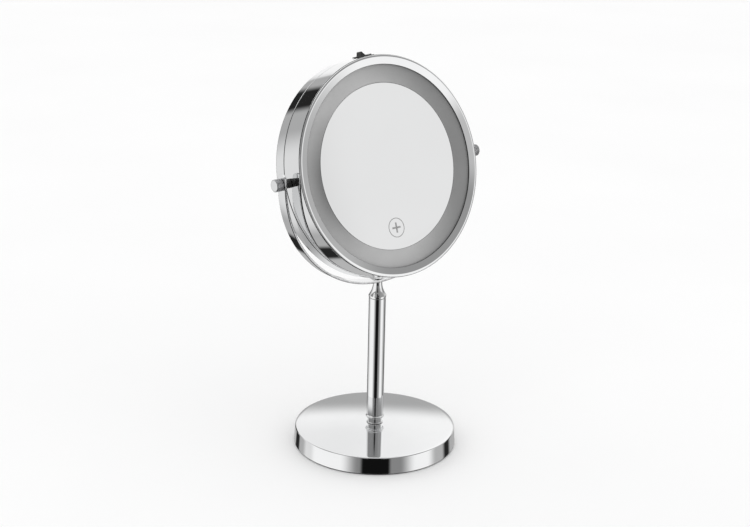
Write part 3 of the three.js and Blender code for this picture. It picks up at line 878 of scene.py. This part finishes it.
def mark():
    """Small etched mark low on the front mirror: a plain ring with a plus in it."""
    across, down = -1.0, -49.9
    outer, inner, arm, bar = 8.0, 7.35, 4.2, 0.75
    lift = 0.05
    sides = 96

    def on_dish(x, z, height):
        """A place beside the mark's middle, standing off the dished glass by a height."""
        return across + x, dish(math.hypot(across + x, down + z)) - height, down + z

    def layers(shape, outline):
        """An outline just before and just behind the glass's face."""
        return [[shape.verts.new(on_dish(x, z, height)) for x, z in outline] for height in (lift, -lift)]

    shape = bmesh.new()
    turns = [2 * math.pi * i / sides for i in range(sides)]
    rims = []
    for radius in (outer, inner):
        rims.append(layers(shape, [(radius * math.cos(turn), radius * math.sin(turn)) for turn in turns]))
    (outer_front, outer_back), (inner_front, inner_back) = rims
    join_rings(shape, outer_front, inner_front)
    join_rings(shape, inner_front, inner_back)
    join_rings(shape, inner_back, outer_back)
    join_rings(shape, outer_back, outer_front)
    ring = make_object("mirror_mark_ring", finish_mesh("mirror_mark_ring", shape), HEAD, "head")
    ring.data.materials.append(ETCHED)

    shape = bmesh.new()
    cross = [
        (-bar, arm), (bar, arm), (bar, bar), (arm, bar), (arm, -bar), (bar, -bar),
        (bar, -arm), (-bar, -arm), (-bar, -bar), (-arm, -bar), (-arm, bar), (-bar, bar),
    ]
    front, back = layers(shape, cross)
    shape.faces.new(front)
    shape.faces.new(back[::-1])
    join_rings(shape, front, back)
    plus = make_object("mirror_mark_plus", finish_mesh("mirror_mark_plus", shape), HEAD, "head")
    plus.data.materials.append(ETCHED)


base_cover()
stem()
yoke()
yoke_screw()
side_band()
front_bezel()
optics()
rear_cover()
switch()
for side in (-1, 1):
    knob(side)
    spacer(side)
mark()

for piece in made:
    weighting = piece.modifiers.new("weighted_normals", "WEIGHTED_NORMAL")
    weighting.keep_sharp = True

# ---- Floor, light and camera ----

VIEW_AZIMUTH = -38.69
VIEW_ELEVATION = 17.85
VIEW_ROLL = 1.26
VIEW_DISTANCE = 1.2197
TARGET_HEIGHT = 0.1707
FOCAL_SHARE = 1.970667
SHIFT_ACROSS = -0.00456
SHIFT_UP = -0.0169867

BACKDROP = 1.06
WALL = 1.02

# The studio as polished metal sees it: soft panels over a pale wall, later ones over earlier ones.
# Angles are in degrees. Azimuth is counted from the camera's, so 180 is behind the mirror.
# (azimuth, half width, feather, lowest, highest, vertical feather, brightness)
PANELS = (
    (0, 180, 1, -90, -54, 8, 0.08),
    (-112, 10, 12, -70, 30, 10, 0.80),
    (180, 45, 22, 13, 20.5, 3.2, 0.43),
    (180, 45, 20, 2, 13.5, 1.5, 0.98),
    (180, 45, 20, 27, 90, 5, 1.07),
    (-155, 22, 14, 27, 60, 5, 0.92),
    (52, 8, 10, 8, 40, 6, 0.62),
    (0, 100, 20, 22.5, 58, 2.5, 0.27),
    (74, 24, 8, 21, 36, 6, 0.33),
    (-138, 16, 12, -90, 19, 3, 0.45),
    (180, 22, 10, -90, -14, 8, 0.50),
    (139, 30, 10, -90, -4, 10, 0.45),
    (104, 6, 18, -30, 20, 6, 0.48),
    (-18, 3, 28, -60, 30, 8, 0.25),
    (28, 8, 26, -60, 30, 8, 0.26),
    (2.5, 17, 6, -60, -8, 5, 0.006),
    (2.5, 7, 4, -8, 12, 4, 0.006),
    (2.5, 9, 5, 12, 28, 4, 0.03),
    (-142, 5.5, 6, -90, 20, 2, 0.02),
    (125, 4, 10, -90, 6, 8, 0.02),
)


def soft_edge(tree, value, edge, feather):
    """1 where a value is under an edge, falling softly to 0 past it."""
    span = tree.nodes.new("ShaderNodeMapRange")
    span.interpolation_type = "SMOOTHSTEP"
    span.inputs["From Min"].default_value = edge
    span.inputs["From Max"].default_value = edge + feather
    span.inputs["To Min"].default_value = 1
    span.inputs["To Max"].default_value = 0
    tree.links.new(value, span.inputs["Value"])
    return span.outputs["Result"]


def studio():
    """White room. Only reflections see the panels, so the floor and the background stay evenly pale."""
    scene = bpy.context.scene
    scene.view_settings.view_transform = "Standard"
    world = bpy.data.worlds.new("studio")
    scene.world = world
    world.use_nodes = True
    tree = world.node_tree
    link = tree.links.new

    def maths(operation, *values):
        return math_node(tree, operation, *values)

    parts = tree.nodes.new("ShaderNodeSeparateXYZ")
    link(tree.nodes.new("ShaderNodeTexCoord").outputs["Generated"], parts.inputs[0])
    x, y, z = parts.outputs
    degree = 180 / math.pi
    elevation = maths("MULTIPLY", maths("ARCSINE", z), degree)
    depth = maths("MULTIPLY", elevation, -1)
    flat = maths("SQRT", maths("ADD", maths("MULTIPLY", x, x), maths("MULTIPLY", y, y)))
    level = None
    for azimuth, half_width, feather, lowest, highest, fade, brightness in PANELS:
        angle = math.radians(azimuth + VIEW_AZIMUTH)
        along = maths("ADD", maths("MULTIPLY", x, math.sin(angle)), maths("MULTIPLY", y, -math.cos(angle)))
        turn = maths("ARCCOSINE", maths("MINIMUM", 1, maths("DIVIDE", along, flat)))
        across = soft_edge(tree, maths("MULTIPLY", turn, degree), half_width, feather)
        below = soft_edge(tree, elevation, highest, fade)
        above = soft_edge(tree, depth, -lowest, fade)
        mix = tree.nodes.new("ShaderNodeMix")
        link(maths("MULTIPLY", across, maths("MULTIPLY", below, above)), mix.inputs["Factor"])
        mix.inputs["A"].default_value = WALL
        mix.inputs["B"].default_value = brightness
        if level:
            link(level, mix.inputs["A"])
        level = mix.outputs["Result"]

    choose = tree.nodes.new("ShaderNodeMix")
    choose.inputs["A"].default_value = BACKDROP
    link(tree.nodes.new("ShaderNodeLightPath").outputs["Is Glossy Ray"], choose.inputs["Factor"])
    link(level, choose.inputs["B"])
    background = tree.nodes["Background"]
    background.inputs["Color"].default_value = (1, 1, 1, 1)
    link(choose.outputs["Result"], background.inputs["Strength"])


def floor():
    """Plain pale floor that the chrome doesn't mirror."""
    size = 6
    shape = bmesh.new()
    bmesh.ops.create_grid(shape, x_segments=1, y_segments=1, size=size)
    mesh = bpy.data.meshes.new("floor")
    shape.to_mesh(mesh)
    shape.free()
    ground = bpy.data.objects.new("floor", mesh)
    bpy.context.scene.collection.objects.link(ground)
    look = Look("floor", roughness=0.9)
    look.tint(look.noise(3, 2), (0.93, 0.93, 0.93), (0.945, 0.945, 0.945))
    mesh.materials.append(look.material)
    ground.visible_glossy = False


def camera():
    """Camera that looks at the middle of the object from its front left, a little from above."""
    azimuth, elevation = math.radians(VIEW_AZIMUTH), math.radians(VIEW_ELEVATION)
    level = math.cos(elevation)
    back = Vector((math.sin(azimuth) * level, -math.cos(azimuth) * level, math.sin(elevation)))
    roll = Matrix.Rotation(math.radians(VIEW_ROLL), 3, "Z")
    data = bpy.data.cameras.new("camera")
    thing = bpy.data.objects.new("camera", data)
    bpy.context.scene.collection.objects.link(thing)
    thing.location = Vector((0, 0, TARGET_HEIGHT)) + back * VIEW_DISTANCE
    thing.rotation_euler = ((-back).to_track_quat("-Z", "Y").to_matrix() @ roll).to_euler()
    data.lens = FOCAL_SHARE * data.sensor_width
    data.shift_x = SHIFT_ACROSS
    data.shift_y = SHIFT_UP
    data.clip_end = 50
    bpy.context.scene.camera = thing


studio()
floor()
camera()
